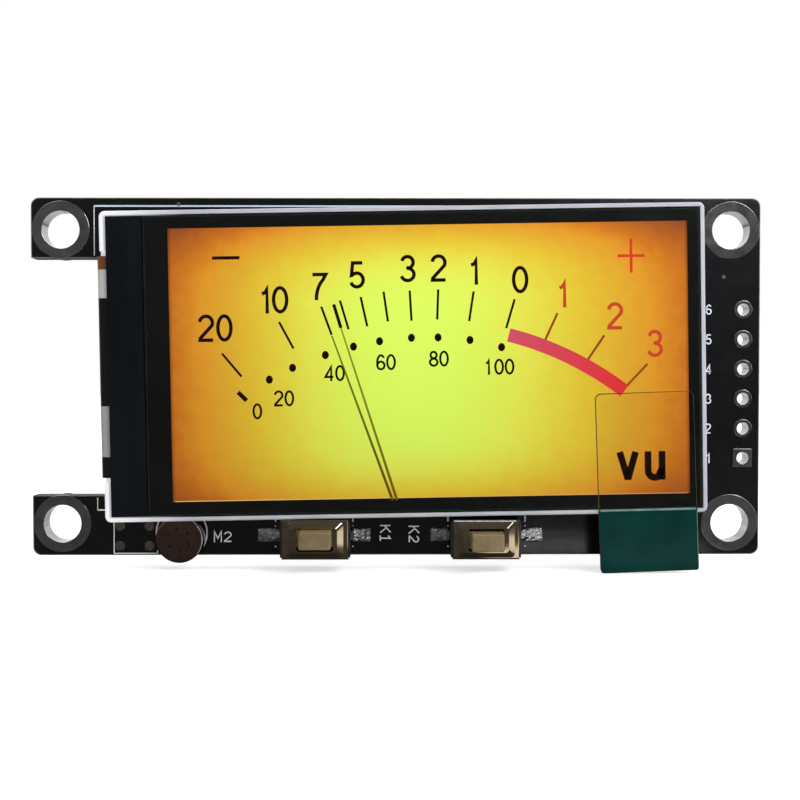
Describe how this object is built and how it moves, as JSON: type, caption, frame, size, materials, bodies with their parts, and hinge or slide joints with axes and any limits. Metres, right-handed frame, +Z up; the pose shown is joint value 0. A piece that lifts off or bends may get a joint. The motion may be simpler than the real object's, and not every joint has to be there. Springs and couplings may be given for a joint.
{
  "type": "panel vu meter display module",
  "caption": "Lit VU dial on a small display module: colour screen on a narrow black circuit board with a microphone and two push buttons.",
  "frame": {"origin": "centre of the four mounting holes, on the board's front face", "axes": "+X to the right and +Z up as the dial is read; the screen faces -Y and the board's back faces +Y"},
  "size_m": [0.062, 0.0085, 0.0314],
  "materials": {
    "bare_silicon": "polished silicon",
    "black_tape": "black tape",
    "button_ivory": "moulded ivory nylon",
    "capacitor_ceramic": "fired ceramic",
    "chip_epoxy": "moulded epoxy",
    "clear_acrylic": "clear moulded light guide",
    "flex_film": "amber polyimide film",
    "foam_tape": "black double-sided foam",
    "lead_tin": "matt tin plate",
    "led_white": "side-firing lamps",
    "mic_aluminium": "satin drawn can",
    "mic_inner_metal": "plain",
    "mic_inner_plastic": "plain",
    "mirror_film": "mirror film",
    "optical_film": "frosted film",
    "polarizer_film": "smoke grey film",
    "protective_film": "clear delivery film",
    "resistor_glaze": "glazed black",
    "resonator_metal": "seam-welded lid",
    "screen_glass": "thin glass",
    "seal_glue": "cured glue",
    "snap_dome_steel": "spring steel",
    "solder": "bright soldered",
    "solder_mask": "glass-fibre board under satin black solder mask",
    "switch_plastic": "moulded, dark",
    "switch_steel": "bright stamped stainless sheet",
    "tab_clear": "clear polyester",
    "tab_green": "teal green polyester",
    "tantalum_case": "moulded yellow epoxy",
    "tinned_copper": "hot-air levelled tin on copper",
    "white_ceramic": "fired alumina",
    "white_frame": "white moulded polycarbonate"
  },
  "bodies": {
    "board": {"array_glass": "screen_glass", "back_pads": "tinned_copper", "backlight_frame": "white_frame", "backlight_leds": "led_white", "backlight_transistor": "chip_epoxy", "board_header_rims": "tinned_copper", "board_mounting_rims": "tinned_copper", "bulk_capacitors": "tantalum_case", "capacitor_straps": "lead_tin", "cell_seal": "seal_glue", "ceramic_capacitors": "capacitor_ceramic", "chip_end_caps": "lead_tin", "chip_resistors": "resistor_glaze", "circuit_board": "solder_mask", "color_filter_glass": "screen_glass", "diffuser_sheet": "optical_film", "driver_chip": "bare_silicon", "flex_solder_joints": "solder", "flex_tail": "flex_film", "front_polarizer": "polarizer_film", "led_strip_board": "flex_film", "ledge_tape": "black_tape", "left_switch_base": "switch_plastic", "left_switch_cover": "switch_steel", "left_switch_dome": "snap_dome_steel", "left_switch_terminals": "lead_tin", "light_guide": "clear_acrylic", "lower_prism_sheet": "optical_film", "mic_backplate": "mic_inner_metal", "mic_base_board": "mic_inner_plastic", "mic_can": "mic_aluminium", "mic_chamber": "mic_inner_plastic", "mic_diaphragm": "mic_inner_metal", "mic_solder_joints": "solder", "mic_spacer": "mic_inner_plastic", "mic_transistor": "mic_inner_plastic", "microcontroller": "chip_epoxy", "microcontroller_leads": "lead_tin", "mounting_foam": "foam_tape", "power_leads": "lead_tin", "preamp_chip": "chip_epoxy", "preamp_leads": "lead_tin", "protective_film": "protective_film", "pull_tab_grip": "tab_green", "pull_tab_window": "tab_clear", "rear_polarizer": "polarizer_film", "reflector_sheet": "mirror_film", "resonator_base": "white_ceramic", "resonator_lid": "resonator_metal", "right_switch_base": "switch_plastic", "right_switch_cover": "switch_steel", "right_switch_dome": "snap_dome_steel", "right_switch_terminals": "lead_tin", "rim_tape": "black_tape", "switch_solder_joints": "solder", "test_pads": "tinned_copper", "upper_prism_sheet": "optical_film", "voltage_regulator": "chip_epoxy"},
    "left_button": {"left_switch_button": "button_ivory"},
    "right_button": {"right_switch_button": "button_ivory"}
  },
  "joints": [
    {"name": "left_press", "type": "slide", "parent": "board", "child": "left_button", "axis": [0, 1, 0], "range_m": [0, 0.00025], "stiffness_N_per_m": 3200, "deforming": ["left_switch_dome"]},
    {"name": "right_press", "type": "slide", "parent": "board", "child": "right_button", "axis": [0, 1, 0], "range_m": [0, 0.00025], "stiffness_N_per_m": 3200, "deforming": ["right_switch_dome"]}
  ]
}
